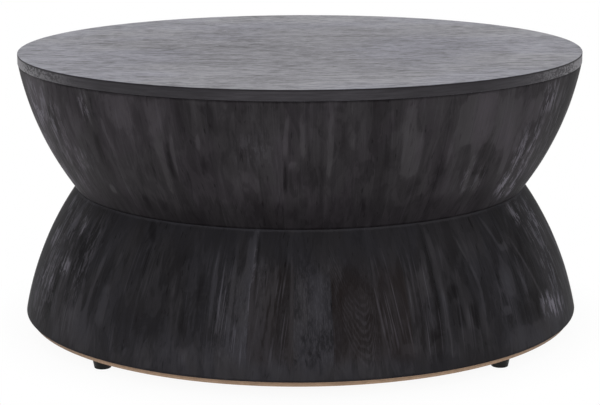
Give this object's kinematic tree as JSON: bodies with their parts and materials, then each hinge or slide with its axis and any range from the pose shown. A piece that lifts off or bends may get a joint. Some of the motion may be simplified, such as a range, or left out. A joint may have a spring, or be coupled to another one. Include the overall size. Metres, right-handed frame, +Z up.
{
  "type": "round drum coffee table",
  "caption": "Low round drum coffee table of charcoal-stained solid wood: plank top, two coopered bowls meeting at a waist, base board and rubber feet.",
  "frame": {"origin": "on the floor under the middle of the table", "axes": "+Z up, -Y to the front, the top boards' grain along X"},
  "size_m": [0.9144, 0.9144, 0.45],
  "materials": {
    "top_wood": "charcoal stain with a grey dry-brushed grain, satin lacquer",
    "upper_bowl_wood": "charcoal-black stain, satin lacquer, scuffed lighter in streaks along the staves",
    "lower_bowl_wood": "charcoal-black stain, satin lacquer, scuffed lighter in streaks along the staves",
    "plywood": "bare sanded plywood",
    "foot_rubber": "matt black moulded rubber",
    "zinc_steel": "bright zinc plate"
  },
  "bodies": {
    "root": {"top_board_1": "top_wood", "top_board_2": "top_wood", "top_board_3": "top_wood", "top_board_4": "top_wood", "top_board_5": "top_wood", "top_board_6": "top_wood", "top_board_7": "top_wood", "upper_stave_panel_01": "upper_bowl_wood", "upper_stave_panel_02": "upper_bowl_wood", "upper_stave_panel_03": "upper_bowl_wood", "upper_stave_panel_04": "upper_bowl_wood", "upper_stave_panel_05": "upper_bowl_wood", "upper_stave_panel_06": "upper_bowl_wood", "upper_stave_panel_07": "upper_bowl_wood", "upper_stave_panel_08": "upper_bowl_wood", "upper_stave_panel_09": "upper_bowl_wood", "upper_stave_panel_10": "upper_bowl_wood", "upper_stave_panel_11": "upper_bowl_wood", "upper_stave_panel_12": "upper_bowl_wood", "lower_stave_panel_01": "lower_bowl_wood", "lower_stave_panel_02": "lower_bowl_wood", "lower_stave_panel_03": "lower_bowl_wood", "lower_stave_panel_04": "lower_bowl_wood", "lower_stave_panel_05": "lower_bowl_wood", "lower_stave_panel_06": "lower_bowl_wood", "lower_stave_panel_07": "lower_bowl_wood", "lower_stave_panel_08": "lower_bowl_wood", "lower_stave_panel_09": "lower_bowl_wood", "lower_stave_panel_10": "lower_bowl_wood", "lower_stave_panel_11": "lower_bowl_wood", "lower_stave_panel_12": "lower_bowl_wood", "rim_ring": "plywood", "upper_waist_ring": "plywood", "lower_waist_ring": "plywood", "base_ring": "plywood", "base_board": "plywood", "foot_1": "foot_rubber", "foot_2": "foot_rubber", "foot_3": "foot_rubber", "foot_4": "foot_rubber", "top_screws": "zinc_steel", "top_screw_washers": "zinc_steel", "waist_bolts": "zinc_steel", "waist_washers": "zinc_steel", "waist_nuts": "zinc_steel", "base_screws": "zinc_steel", "foot_screws": "zinc_steel", "foot_washers": "zinc_steel"}
  },
  "joints": []
}
